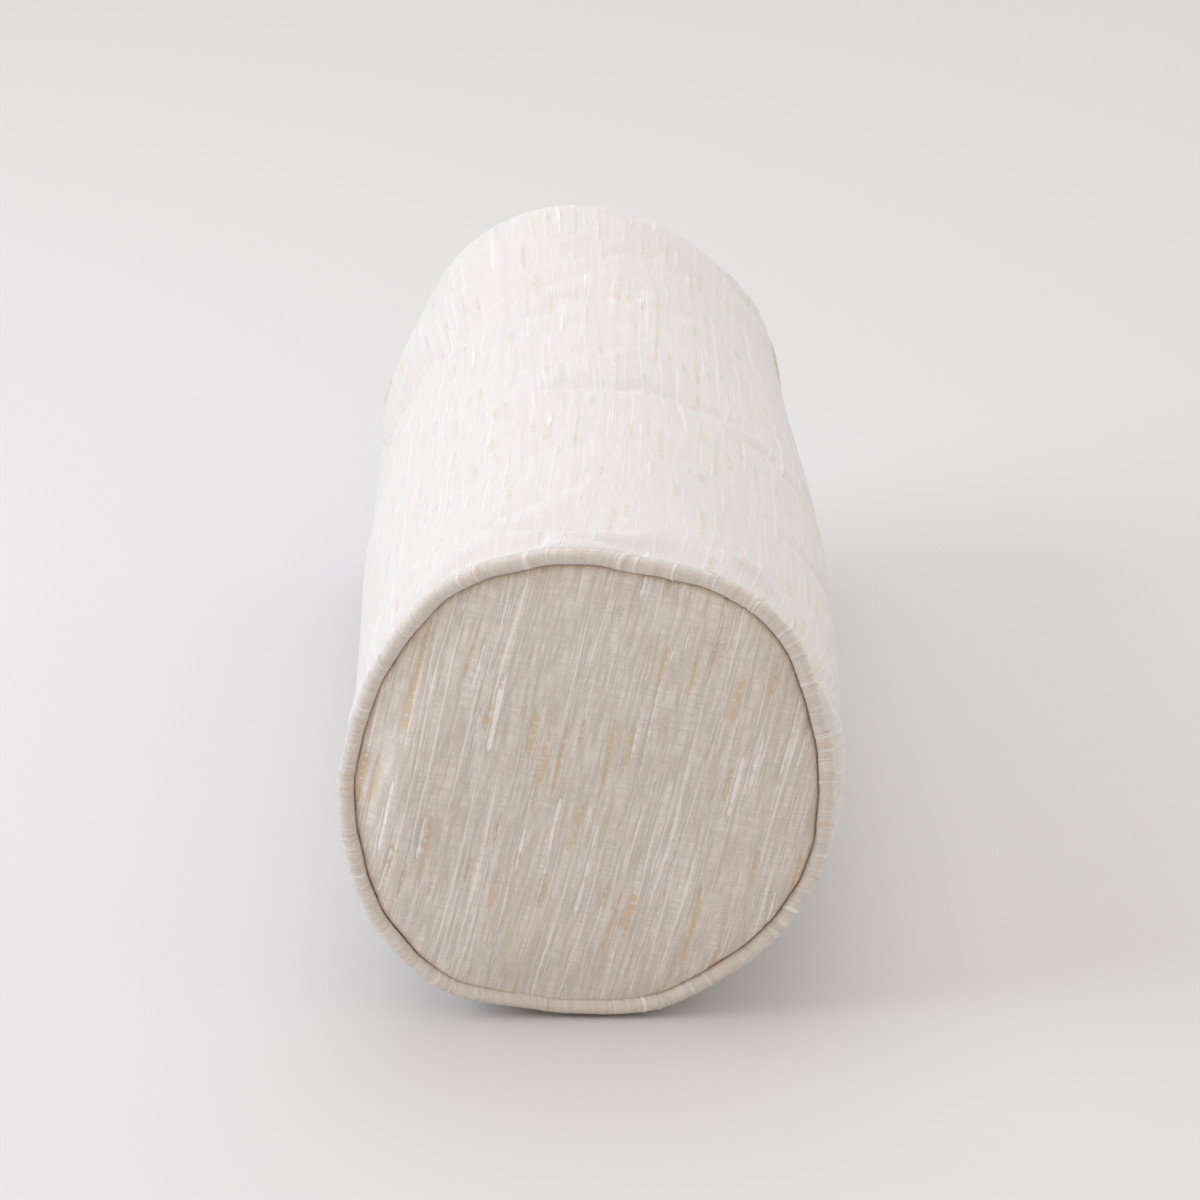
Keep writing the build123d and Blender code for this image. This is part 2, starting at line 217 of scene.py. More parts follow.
def tube_points(s, y, inset=0.0, wrinkle=0.0):
    """Points on the tube at fraction s round and distance y along it, in mm."""
    tuck = smooth((np.abs(y) - (HALF - SHOULDER)) / SHOULDER)[..., None]
    flat, seam = along_outline(FLAT_POINTS, s), along_outline(SEAM_POINTS, s)
    points = flat * (1 - tuck) + seam * tuck
    normals = along_outline(FLAT_NORMALS, s) * (1 - tuck)
    normals = normals + along_outline(SEAM_NORMALS, s) * tuck
    out = swelling(flat, y) + wrinkle - inset
    out = out + (seam_wobble(s, SEAM_SEED) - RIM) * tuck[..., 0]
    points = points + normals * out[..., None]
    z = np.maximum(points[..., 1], 0)
    return np.stack([points[..., 0], leaned(y, z), z], -1)


def seam_wobble(s, seed):
    """How far a seam strays from its line, in mm."""
    total = np.zeros_like(s)
    for turns, amount, offset in SEAM_WAVES:
        total += amount * np.sin(s * TAU * turns + offset + seed)
    return total


def seam_ring(s, inset, height, end):
    """Points round an end seam, this far in from it and this far out along Y."""
    y = np.full_like(s, end * HALF)
    seam, normals = along_outline(SEAM_POINTS, s), along_outline(SEAM_NORMALS, s)
    out = swelling(along_outline(FLAT_POINTS, s), y) - inset + seam_wobble(s, SEAM_SEED)
    points = seam + normals * out[..., None]
    y = leaned(y, points[..., 1]) + end * height
    return np.stack([points[..., 0], y, points[..., 1]], -1)


CENTRE = np.array([0.0, AXIS_Z])
CROWN = 3.6  # how far the middle of an end panel stands out past its edge
PANEL_INSET = 2.8  # from the middle of the piping in to an end panel's edge
EDGE_HEIGHT = -0.7  # of that edge, outward from the middle of the piping
EDGE_RISE = 2.5  # the cloth turns up out of the seam by this much
EDGE_REACH = 0.9  # within about this distance
# Where the weight rolls the piping under, the panel bulges over it: angle, its spread,
# how far the edge moves out round the section and outward, and how much less it turns up.
PRESSED = (-95, 30, 1.2, 2.3, 1.2)
PUCKER = 0.35  # height of the gathers beside the seam
PUCKER_REACHES = (1.5, 9.0)  # distances in from the seam over which they grow and fade
PUCKER_TURNS = (37, 5, 11)  # gathers round the seam, and the slower waves that vary them
# Swells and dips of each end panel: angle, its spread, distance out from the
# middle as a share of the radius, its spread, and how far.
PILLOWS = {
    -1: [
        (174, 28, 0.79, 0.16, 7.2),
        (138, 20, 0.88, 0.10, -1.4),
        (-20, 36, 0.76, 0.18, 1.4),
    ],
    1: [(60, 50, 0.62, 0.25, 1.6), (200, 40, 0.70, 0.22, 1.8), (-70, 30, 0.8, 0.15, -0.8)],
}


def disc_points(a, b, end, wrinkle=0.0):
    """Points on an end panel, from a square grid of a and b from -1 to 1."""
    radius = np.maximum(np.abs(a), np.abs(b))
    safe = np.maximum(radius, 1e-9)
    turn = np.where(
        np.abs(a) >= np.abs(b),
        np.where(a >= 0, b / safe, 4 - b / safe) % 8,
        np.where(b >= 0, 2 - a / safe, 6 + a / safe),
    )
    s = (turn / 8) % 1.0
    middle, spread, outward, raised, flattened = PRESSED
    seam_angle = angle_of(along_outline(SEAM_POINTS, s))
    pressed = bump(turned(seam_angle, middle), 0, spread)
    rim = seam_ring(s, PANEL_INSET - outward * pressed, 0.0, end)
    xz = CENTRE + radius[..., None] * (rim[..., [0, 2]] - CENTRE)
    depth = (1 - radius) * RADIUS
    angle = angle_of(xz)
    turn_up = (EDGE_RISE - flattened * pressed) * (1 - np.exp(-depth / EDGE_REACH))
    height = EDGE_HEIGHT + raised * pressed + CROWN * (1 - radius**2) + turn_up
    grow, fade = PUCKER_REACHES
    pucker = np.exp(-depth / fade) * (1 - np.exp(-depth / grow))
    gathers, spacing, strength = (s * TAU * turns for turns in PUCKER_TURNS)
    ripple = np.sin(gathers + 2 * np.sin(spacing)) * np.sin(strength + 1)
    height = height + PUCKER * pucker * ripple
    for middle, reach, place, width, amount in PILLOWS[end]:
        swell = bump(turned(angle, middle), 0, reach) * bump(radius, place, width)
        height = height + amount * swell
    height = height + wrinkle
    y = leaned(np.full_like(height, end * HALF), xz[..., 1]) + end * height
    return np.stack([xz[..., 0], y, xz[..., 1]], -1), s


# ---- meshes ------------------------------------------------------------------


def make_object(name, points, faces, cloth=None):
    mesh = bpy.data.meshes.new(name)
    places = np.reshape(points, (-1, 3)) * MM
    mesh.from_pydata(places.tolist(), [], np.asarray(faces).tolist())
    mesh.validate()
    mesh.polygons.foreach_set("use_smooth", [True] * len(mesh.polygons))
    if cloth is not None:
        place = mesh.attributes.new("cloth", "FLOAT_VECTOR", "POINT")
        place.data.foreach_set("vector", np.asarray(cloth, dtype=np.float32).ravel())
    piece = bpy.data.objects.new(name, mesh)
    bpy.context.collection.objects.link(piece)
    return piece


def grid_faces(rows, columns, wrap=False, closed=False, flip=False):
    """Quads of a grid of points, joined round each row if wrap, and from the last row
    back to the first if closed."""
    i, j = np.meshgrid(
        np.arange(rows if closed else rows - 1),
        np.arange(columns if wrap else columns - 1),
        indexing="ij",
    )
    right = (j + 1) % columns
    below = (i + 1) % rows
    corners = [
        i * columns + j,
        i * columns + right,
        below * columns + right,
        below * columns + j,
    ]
    if flip:
        corners.reverse()
    return np.stack(corners, -1).reshape(-1, 4)


def round_angles(sides):
    return np.linspace(0, TAU, sides, endpoint=False)


def add_ring(name, path, radius, sides, cloth=None):
    """A tube round a closed path, with one radius or one for each of its points."""
    ahead = np.roll(path, -1, 0) - np.roll(path, 1, 0)
    ahead /= np.linalg.norm(ahead, axis=1)[:, None]
    out = path - path.mean(0)
    out -= (out * ahead).sum(1)[:, None] * ahead
    out /= np.linalg.norm(out, axis=1)[:, None]
    side = np.cross(ahead, out)
    angle = round_angles(sides)[:, None]
    around = np.cos(angle) * out[:, None] + np.sin(angle) * side[:, None]
    points = path[:, None] + np.asarray(radius)[..., None] * around
    faces = grid_faces(len(path), sides, wrap=True, closed=True)
    return make_object(name, points, faces, cloth)


def square_grid(count):
    edge = np.linspace(-1, 1, count + 1)
    return np.meshgrid(edge, edge, indexing="ij")


def weld(tube, discs):
    """Joins a tube grid, round by along, to its end grids at their rims.

    Each disc is its end's points and their fractions of the way round. Returns the
    points, the faces, and the index of each end grid's points."""
    around, rows = tube.shape[:2]
    points = [tube.transpose(1, 0, 2).reshape(-1, 3)]
    faces = [grid_faces(rows, around, wrap=True)]
    count = rows * around
    indexes = {}
    for end, (disc, disc_s) in discs.items():
        a, b = square_grid(len(disc) - 1)
        rim = np.maximum(np.abs(a), np.abs(b)) > 1 - 1e-6
        inner = ~rim
        row = 0 if end < 0 else rows - 1
        ring = np.rint(disc_s * around).astype(int) % around
        index = np.full(a.shape, -1)
        index[rim] = row * around + ring[rim]
        index[inner] = count + np.arange(inner.sum())
        count += inner.sum()
        points.append(disc[inner])
        corners = [index[:-1, :-1], index[1:, :-1], index[1:, 1:], index[:-1, 1:]]
        quads = np.stack(corners, -1).reshape(-1, 4)
        faces.append(quads if end > 0 else quads[:, ::-1])
        indexes[end] = index
    return np.concatenate(points), np.concatenate(faces), indexes


# ---- node trees that materials and relief share ------------------------------


def link(tree, value, socket):
    if isinstance(value, bpy.types.NodeSocket):
        tree.links.new(value, socket)
    else:
        socket.default_value = value


def math_node(tree, operation, first, second=None, third=None):
    node = tree.nodes.new("ShaderNodeMath")
    node.operation = operation
    for value, socket in zip((first, second, third), node.inputs):
        if value is not None:
            link(tree, value, socket)
    return node.outputs[0]


def ramp(tree, value, low, high, out_low=0.0, out_high=1.0, curve="SMOOTHSTEP"):
    node = tree.nodes.new("ShaderNodeMapRange")
    node.interpolation_type = curve
    numbers = (value, low, high, out_low, out_high)
    for number, socket in zip(numbers, node.inputs[:5]):
        link(tree, number, socket)
    return node.outputs[0]


def vector_of(tree, x, y, z=0.0):
    node = tree.nodes.new("ShaderNodeCombineXYZ")
    for value, socket in zip((x, y, z), node.inputs):
        link(tree, value, socket)
    return node.outputs[0]


def parts_of(tree, vector):
    """The x, y and z of a vector."""
    node = tree.nodes.new("ShaderNodeSeparateXYZ")
    link(tree, vector, node.inputs[0])
    return node.outputs


def noise(tree, vector, scale=1.0, detail=0.0, roughness=0.5, dimensions="2D"):
    node = tree.nodes.new("ShaderNodeTexNoise")
    node.noise_dimensions = dimensions
    link(tree, vector, node.inputs["Vector"])
    node.inputs["Scale"].default_value = scale
    node.inputs["Detail"].default_value = detail
    node.inputs["Roughness"].default_value = roughness
    return node.outputs[0]


def row_of(tree, place, pitch):
    """Which yarn of this pitch a place across the yarns is on."""
    return math_node(tree, "FLOOR", math_node(tree, "DIVIDE", place, pitch))


# The yarns that stand out of the ground. Their pitch, the length over which one changes,
# the range of its noise over which it swells, its greatest width as a share of the pitch,
# a seed, how much its width varies in lumps, and how far in its soft edge reaches.
YARNS = {
    "thin": (2.5, 110.0, (0.48, 0.62), 0.36, 3.1, 0.25, 0.45),
    "white": (5.0, 52.0, (0.61, 0.67), 0.32, 41.7, 0.50, 0.45),
    "tan": (5.6, 32.0, (0.61, 0.70), 0.80, 87.3, 0.30, 0.0),
}
YARN_HEIGHTS = {"thin": 0.16, "white": 0.42, "tan": 0.26}  # over the ground
ROW_SPREAD = 7.317  # keeps neighbouring yarns' noises apart
LEAST_WIDTH = 0.02
LUMP_LENGTH = 3.6
LUMP_RANGE = (0.32, 0.62)
# How the yarns bend: how much slower the noise is along them than across, its scale,
# and how far it pushes them.
BENDS = [(1.0, 0.012, 4.0), (0.05, 0.22, 3.4), (1.0, 0.14, 0.35)]


def yarn_mask(tree, x, y, pitch, length, swelling_range, width, seed, lumps, core):
    """Where the yarns of one kind show, each swelling where its own noise is high."""
    local = math_node(tree, "FRACT", math_node(tree, "DIVIDE", x, pitch))
    local = math_node(tree, "ABSOLUTE", math_node(tree, "SUBTRACT", local, 0.5))
    away = math_node(tree, "MULTIPLY", local, 2.0)
    lane = math_node(tree, "MULTIPLY_ADD", row_of(tree, x, pitch), ROW_SPREAD, seed)
    along = vector_of(tree, lane, math_node(tree, "DIVIDE", y, length))
    swell = ramp(tree, noise(tree, along, 1.0, 1.0, 0.35), *swelling_range)
    reach = math_node(tree, "MULTIPLY_ADD", swell, width, LEAST_WIDTH)
    short = vector_of(tree, lane, math_node(tree, "DIVIDE", y, LUMP_LENGTH))
    lump = ramp(tree, noise(tree, short, 1.0, 2.0), *LUMP_RANGE, 1 - lumps, 1.0)
    reach = math_node(tree, "MULTIPLY", reach, lump)
    edge = ramp(tree, math_node(tree, "DIVIDE", away, reach), 1.0, core)
    return math_node(tree, "MULTIPLY", edge, ramp(tree, swell, 0.0, 0.25))


def slub_masks(tree, vector):
    """A mask for each kind of yarn, and the x and y of a cloth with gently bent yarns."""
    x, y, _ = parts_of(tree, vector)
    for slowing, scale, amount in BENDS:
        slow_y = y if slowing == 1 else math_node(tree, "MULTIPLY", y, slowing)
        push = noise(tree, vector_of(tree, x, slow_y), scale, 1.0)
        push = math_node(tree, "SUBTRACT", push, 0.5)
        x = math_node(tree, "MULTIPLY_ADD", push, amount, x)
    masks = {kind: yarn_mask(tree, x, y, *numbers) for kind, numbers in YARNS.items()}
    return masks, x, y


def slub_height(tree, masks):
    """Height of the slubs over the cloth, in mm."""
    height = 0.0
    for kind, amount in YARN_HEIGHTS.items():
        height = math_node(tree, "MULTIPLY_ADD", masks[kind], amount, height)
    return height


# ---- materials ---------------------------------------------------------------


def new_material(name, colour, roughness):
    material = bpy.data.materials.new(name)
    material.use_nodes = True
    tree = material.node_tree
    shader = tree.nodes["Principled BSDF"]
    shader.inputs["Base Color"].default_value = (*colour, 1)
    shader.inputs["Roughness"].default_value = roughness
    return material, tree, shader


def mix_colour(tree, factor, first, second, blend="MIX"):
    """Blends two colours, each an output of the tree or three numbers."""
    node = tree.nodes.new("ShaderNodeMix")
    node.data_type = "RGBA"
    node.blend_type = blend
    link(tree, factor, node.inputs["Factor"])
    colour_inputs = [socket for socket in node.inputs if socket.type == "RGBA"]
    for value, socket in zip((first, second), colour_inputs):
        link(tree, (*value, 1) if isinstance(value, tuple) else value, socket)
    return next(socket for socket in node.outputs if socket.type == "RGBA")


def add_bump(tree, shader, height, strength, distance):
    """Bumps a shader's surface by a height; the distance is that of one unit, in mm."""
    relief = tree.nodes.new("ShaderNodeBump")
    relief.inputs["Strength"].default_value = strength
    relief.inputs["Distance"].default_value = distance * MM
    tree.links.new(height, relief.inputs["Height"])
    tree.links.new(relief.outputs[0], shader.inputs["Normal"])


def object_space(tree):
    """Places in the object's own space, in mm."""
    node = tree.nodes.new("ShaderNodeTexCoord")
    scaled = tree.nodes.new("ShaderNodeVectorMath")
    scaled.operation = "SCALE"
    tree.links.new(node.outputs["Object"], scaled.inputs[0])
    scaled.inputs["Scale"].default_value = 1 / MM
    return scaled.outputs[0]


def wave(tree, place, pitch):
    return math_node(tree, "SINE", math_node(tree, "MULTIPLY", place, TAU / pitch))


WARP, WEFT = 0.8, 0.95  # pitch of the ground's yarns
WARP_TONE, WEFT_TONE = 18.0, 12.0  # length over which one of them changes its tone
WARP_SPREAD, WEFT_SPREAD = 5.13, 3.71  # keep neighbouring yarns' tones apart
SPECKLE_SCALE, FRAY_SCALE = 1.9, 0.45
TAN = (0.715, 0.555, 0.36)
SEAM_SHADE_BROWN = (0.77, 0.57, 0.38)  # painted shade: the browner, darker cloth in the crease right at a seam
GROUND_HEIGHTS = {"weave": 0.10, "warp": 0.05, "weft": 0.07, "speckle": 0.16}


def make_slub_cloth(name, base, shade, white, thin_share, tan_share, strength):
    """Plain-woven cloth with uneven pale yarns, nubby white slubs and streaky tan ones."""
    material, tree, shader = new_material(name, base, 0.82)
    attribute = tree.nodes.new("ShaderNodeAttribute")
    attribute.attribute_name = "cloth"
    masks, x, y = slub_masks(tree, attribute.outputs["Vector"])

    # The ground's yarns, each a little lighter or darker along its length.
    warp_row, weft_row = row_of(tree, x, WARP), row_of(tree, y, WEFT)
    warp_lane = math_node(tree, "MULTIPLY", warp_row, WARP_SPREAD)
    warp_place = vector_of(tree, warp_lane, math_node(tree, "DIVIDE", y, WARP_TONE))
    weft_lane = math_node(tree, "MULTIPLY", weft_row, WEFT_SPREAD)
    weft_place = vector_of(tree, weft_lane, math_node(tree, "DIVIDE", x, WEFT_TONE))
    ground = {
        "weave": math_node(tree, "MULTIPLY", wave(tree, x, WARP), wave(tree, y, WEFT)),
        "warp": noise(tree, warp_place, 1.0, 2.0),
        "weft": noise(tree, weft_place, 1.0, 2.0),
        "speckle": noise(tree, vector_of(tree, x, y), SPECKLE_SCALE, 2.0),
    }
    colour = mix_colour(tree, ramp(tree, ground["warp"], 0.3, 0.7), shade, base)
    weft_shade = ramp(tree, ground["weft"], 0.35, 0.7, 0.0, 0.5)
    colour = mix_colour(tree, weft_shade, colour, shade)
    flecks = ramp(tree, ground["speckle"], 0.45, 0.75, 0.0, 0.35)
    colour = mix_colour(tree, flecks, colour, white)

    # The yarns that stand out, and the painted shade of the seam's crease that the
    # attribute's z gives.
    pale = math_node(tree, "MULTIPLY", masks["thin"], thin_share)
    colour = mix_colour(tree, pale, colour, white)
    fray = noise(tree, vector_of(tree, warp_row, y), FRAY_SCALE, 2.0)
    tint = math_node(tree, "MULTIPLY", masks["tan"], ramp(tree, fray, 0.34, 0.52))
    tint = math_node(tree, "MULTIPLY", tint, tan_share)
    colour = mix_colour(tree, tint, colour, TAN)
    colour = mix_colour(tree, masks["white"], colour, white)
    # Painted shade: the cloth turns browner and darker towards the crease at a seam.
    seam_shade = parts_of(tree, attribute.outputs["Vector"])[2]
    colour = mix_colour(tree, seam_shade, colour, SEAM_SHADE_BROWN)
    tree.links.new(colour, shader.inputs["Base Color"])

    height = slub_height(tree, masks)
    for kind, amount in GROUND_HEIGHTS.items():
        height = math_node(tree, "MULTIPLY_ADD", ground[kind], amount, height)
    add_bump(tree, shader, height, strength, 1.0)
    shader.inputs["Specular IOR Level"].default_value = 0.25
    shader.inputs["Sheen Weight"].default_value = 0.12
    shader.inputs["Sheen Roughness"].default_value = 0.5
    return material


WOVEN_SHADES = (0.6, 0.4)  # share of the dark colour between yarns and in flecks
WEAR = 0.6  # share of the worn colour where a hard surface is handled most


def make_woven(name, base, dark, pitch, roughness=0.85):
    """A plain narrow weave, laid out in the object's own space."""
    material, tree, shader = new_material(name, base, roughness)
    place = object_space(tree)
    _, y, z = parts_of(tree, place)
    weave = math_node(tree, "MULTIPLY", wave(tree, y, pitch), wave(tree, z, pitch))
    fleck = noise(tree, place, 1.4, 3.0, dimensions="3D")
    weave_shade = ramp(tree, weave, -1.0, 1.0, 0.0, WOVEN_SHADES[0])
    colour = mix_colour(tree, weave_shade, base, dark)
    fleck_shade = ramp(tree, fleck, 0.4, 0.7, 0.0, WOVEN_SHADES[1])
    colour = mix_colour(tree, fleck_shade, colour, dark)
    tree.links.new(colour, shader.inputs["Base Color"])
    add_bump(tree, shader, math_node(tree, "ADD", weave, fleck), 0.6, 0.1)
    shader.inputs["Sheen Weight"].default_value = 0.2
    return material


def make_worn(name, base, worn, metallic, roughness, grain):
    """Metal or plastic with fine handling marks."""
    material, tree, shader = new_material(name, base, roughness)
    marks = noise(tree, object_space(tree), grain, 4.0, 0.6, "3D")
    wear = ramp(tree, marks, 0.45, 0.7, 0.0, WEAR)
    tree.links.new(mix_colour(tree, wear, base, worn), shader.inputs["Base Color"])
    polish = ramp(tree, marks, 0.3, 0.7, roughness - 0.08, roughness + 0.12)
    tree.links.new(polish, shader.inputs["Roughness"])
    add_bump(tree, shader, marks, 0.25, 0.05)
    shader.inputs["Metallic"].default_value = metallic
    return material


# The tube, the end panels and the piping are one cloth in three copies, coloured for how
# each is lit: painted light and shade. The tube's dimmer whites and closer tones stand in
# for its brightly lit, washed-out top. The end panels face away from the light and get a
# lighter ground and whiter slubs, painted light that lifts them and brightens the slubs'
# crowns. The piping's darker colours are painted shade for its shaded near side.
tube_cloth = make_slub_cloth(
    "slub_cloth_tube",
    base=(0.765, 0.74, 0.72),
    shade=(0.725, 0.695, 0.66),
    white=(0.81, 0.795, 0.775),
    thin_share=0.65,
    tan_share=0.45,
    strength=0.55,
)
end_cloth = make_slub_cloth(
    "slub_cloth_end",
    base=(0.84, 0.80, 0.74),
    shade=(0.65, 0.60, 0.535),
    white=(0.95, 0.935, 0.915),
    thin_share=0.65,
    tan_share=0.85,
    strength=0.9,
)
piping_cloth = make_slub_cloth(
    "slub_cloth_piping",
    base=(0.78, 0.735, 0.685),
    shade=(0.68, 0.63, 0.57),
    white=(0.88, 0.86, 0.83),
    thin_share=0.6,
    tan_share=0.5,
    strength=0.8,
)
thread = make_woven(
    "sewing_thread", (0.80, 0.75, 0.67), (0.6, 0.54, 0.46), pitch=0.3, roughness=0.6
)
cotton = make_woven("cotton_cord", (0.80, 0.78, 0.72), (0.6, 0.57, 0.5), pitch=1.1)
ticking = make_woven("insert_case", (0.87, 0.86, 0.83), (0.7, 0.69, 0.66), pitch=0.4)
fibre = make_woven("fibre_filling", (0.9, 0.9, 0.89), (0.75, 0.75, 0.74), pitch=3.0)
tape_weave = make_woven("zip_tape", (0.80, 0.75, 0.66), (0.58, 0.53, 0.45), pitch=0.5)
coil = make_worn(
    "zip_teeth",
    base=(0.80, 0.75, 0.66),
    worn=(0.88, 0.85, 0.78),
    metallic=0.0,
    roughness=0.45,
    grain=1.5,
)
enamel = make_worn(
    "zip_metal",
    base=(0.78, 0.73, 0.64),
    worn=(0.62, 0.56, 0.46),
    metallic=0.35,
    roughness=0.38,
    grain=0.9,
)


# ---- relief ------------------------------------------------------------------


SLUB_SHARE = {"tube": 0.6, "end": 0.6, "piping": 0.5}  # of the slubs' height in the mesh
FLOOR_LEVEL = (-10, -10, 0)  # the lowest x, y and z that a point may have, in metres


def raise_slubs(piece, share):
    """Moves the mesh outward where a slub swells, by the same masks as the cloth's."""
    tree = bpy.data.node_groups.new("relief_" + piece.name, "GeometryNodeTree")
    for direction in ("INPUT", "OUTPUT"):
        tree.interface.new_socket(
            "Geometry", in_out=direction, socket_type="NodeSocketGeometry"
        )
    start, end = tree.nodes.new("NodeGroupInput"), tree.nodes.new("NodeGroupOutput")
    named = tree.nodes.new("GeometryNodeInputNamedAttribute")
    named.data_type = "FLOAT_VECTOR"
    named.inputs["Name"].default_value = "cloth"
    masks, _, _ = slub_masks(tree, named.outputs["Attribute"])
    height = math_node(tree, "MULTIPLY", slub_height(tree, masks), share * MM)
    push = tree.nodes.new("ShaderNodeVectorMath")
    push.operation = "SCALE"
    normal = tree.nodes.new("GeometryNodeInputNormal")
    tree.links.new(normal.outputs[0], push.inputs[0])
    tree.links.new(height, push.inputs["Scale"])
    move = tree.nodes.new("GeometryNodeSetPosition")
    tree.links.new(start.outputs[0], move.inputs["Geometry"])
    tree.links.new(push.outputs[0], move.inputs["Offset"])
    position = tree.nodes.new("GeometryNodeInputPosition")
    above = tree.nodes.new("ShaderNodeVectorMath")
    above.operation = "MAXIMUM"
    above.inputs[1].default_value = FLOOR_LEVEL
    tree.links.new(position.outputs[0], above.inputs[0])
    settle = tree.nodes.new("GeometryNodeSetPosition")
    tree.links.new(move.outputs[0], settle.inputs["Geometry"])
    tree.links.new(above.outputs[0], settle.inputs["Position"])
    tree.links.new(settle.outputs[0], end.inputs[0])
    modifier = piece.modifiers.new("relief", "NODES")
    modifier.node_group = tree
    graph = bpy.context.evaluated_depsgraph_get()
    mesh = bpy.data.meshes.new_from_object(piece.evaluated_get(graph))
    piece.modifiers.clear()
    piece.data = mesh
    mesh.name = piece.name
    bpy.data.node_groups.remove(tree)


# ---- the cloth simulation ----------------------------------------------------

AROUND, ALONG = 96, 76  # squares of the simulated cover
SQUARES = AROUND // 4  # across an end panel
FRAMES = 20
CLOTH = {
    "quality": 5,
    "mass": 0.25,
    "tension_stiffness": 20,
    "compression_stiffness": 20,
    "shear_stiffness": 6,
    "bending_stiffness": 0.4,
    "use_pressure": True,
    "uniform_pressure_force": 4.0,
    "vertex_group_mass": "seam",
    "shrink_min": -0.02,  # the cloth is cut this much larger than the form it covers
}


def resample(values, rows, columns, wrap_rows=False):
    """Cubic interpolation of a grid of values at fractional rows and columns."""

    def weights(places, count, wrap):
        low = np.floor(places).astype(int)
        t = places - low
        cubic = np.stack(
            [
                -0.5 * t + t**2 - 0.5 * t**3,
                1 - 2.5 * t**2 + 1.5 * t**3,
                0.5 * t + 2 * t**2 - 1.5 * t**3,
                -0.5 * t**2 + 0.5 * t**3,
            ],
            -1,
        )
        index = low[:, None] + np.arange(-1, 3)
        index = index % count if wrap else np.clip(index, 0, count - 1)
        matrix = np.zeros((len(places), count))
        for k in range(4):
            np.add.at(matrix, (np.arange(len(places)), index[:, k]), cubic[:, k])
        return matrix

    first = weights(rows, values.shape[0], wrap_rows)
    second = weights(columns, values.shape[1], False)
    return first @ values @ second.T


def blur(values, reach, wrap_rows):
    """A broad average of a grid, used to keep only its finer wrinkles."""
    for axis, wrap in ((0, wrap_rows), (1, False)):
        offsets = np.arange(-2 * reach, 2 * reach + 1)
        kernel = np.exp(-((offsets / reach) ** 2))
        kernel /= kernel.sum()
        mode = "wrap" if wrap else "edge"
        pad = [(0, 0), (0, 0)]
        pad[axis] = (2 * reach, 2 * reach)
        padded = np.pad(values, pad, mode=mode)
        values = np.apply_along_axis(np.convolve, axis, padded, kernel, "valid")
    return values


def simulate_cover():
    """Inflates a slack cover held at its end seams, and returns how far the tube and
    each end panel move outward from where they start, in mm."""
    s = np.arange(AROUND) / AROUND
    y = np.linspace(-HALF, HALF, ALONG + 1)
    grid_s, grid_y = np.meshgrid(s, y, indexing="ij")
    tube = tube_points(grid_s, grid_y)
    a, b = square_grid(SQUARES)
    discs = {end: disc_points(a, b, end) for end in ENDS.values()}
    start, faces, indexes = weld(tube, discs)
    cover = make_object("simulated_cover", start, faces)
    pins = cover.vertex_groups.new(name="seam")
    held = [*range(AROUND), *range(ALONG * AROUND, (ALONG + 1) * AROUND)]
    pins.add(held, 1.0, "REPLACE")
    cloth = cover.modifiers.new("cloth", "CLOTH")
    for setting, value in CLOTH.items():
        setattr(cloth.settings, setting, value)
    cloth.settings.effector_weights.gravity = 0
    cloth.collision_settings.use_collision = False
    scene = bpy.context.scene
    for step in range(1, FRAMES + 1):
        scene.frame_set(step)
    graph = bpy.context.evaluated_depsgraph_get()
    result = cover.evaluated_get(graph)
    moved = np.empty(len(start) * 3, dtype=np.float32)
    result.data.vertices.foreach_get("co", moved)
    moved = moved.reshape(-1, 3) / MM
    scene.frame_set(1)
    bpy.data.objects.remove(cover)
    change = moved - start
    normals = along_outline(FLAT_NORMALS, grid_s)
    shift = change[: (ALONG + 1) * AROUND].reshape(ALONG + 1, AROUND, 3)
    shift = shift.transpose(1, 0, 2)
    out = shift[..., 0] * normals[..., 0] + shift[..., 2] * normals[..., 1]
    fields = {"tube": out}
    for end, index in indexes.items():
        fields[end] = change[index][..., 1] * end
    return fields


LIMIT = 3.0  # the furthest a simulated wrinkle may move the cloth, in mm
TUBE_BLUR, END_BLUR = 9, 7  # squares over which a bulge is too broad to be a wrinkle


def wrinkles():
    """The finer wrinkles of the simulated cover's tube and ends, in mm outward."""
    fine = {}
    for part, field in simulate_cover().items():
        is_tube = part == "tube"
        field = field - blur(field, TUBE_BLUR if is_tube else END_BLUR, is_tube)
        fine[part] = LIMIT * np.tanh(field / LIMIT)
    return fine


folds = wrinkles()


# ---- the cover's pieces ------------------------------------------------------

ZIP_STILL = 12.0  # no wrinkle reaches closer than this to the zip
LIP = 0.45  # radius of the folded edges over the zip
LIP_GAP = 0.62  # from the middle of the zip to a folded edge
SEWN_GAP = 0.02  # the same where the edges are sewn together, past the slit
SLIT_END = 5.0  # length over which the slit closes
LIP_UNDER = 3.0  # how far a folded edge's underside is seen
END_ZONE = 10.0  # length at each end of the tube with closer rows
END_GAP = 0.4  # from the tube's last row to the middle of the piping
END_ROWS, MIDDLE_ROWS, COLUMNS = 11, 150, 566
WRINKLE_SAMPLES = 1201  # round the tube
SKEW = 0.135  # how far the yarns lean at the front seam, which fades over SKEW_REACH
SKEW_REACH = 85.0
# Where each piece is cut from the cloth, so that none has the same yarns as another.
TUBE_CUT = 600
END_CUTS = {-1: (700, 900), 1: (1700, 900)}
PIPING_CUTS = {-1: -40, 1: 40}


def tube_wrinkles(s, y):
    """Wrinkles of the tube at each of these fractions round and distances along."""
    rows, columns = s * AROUND, (y + HALF) / (2 * HALF) * ALONG
    return resample(folds["tube"], rows, columns, wrap_rows=True)


def still_by_zip(from_zip):
    return smooth((from_zip - ZIP_STILL) / ZIP_STILL)


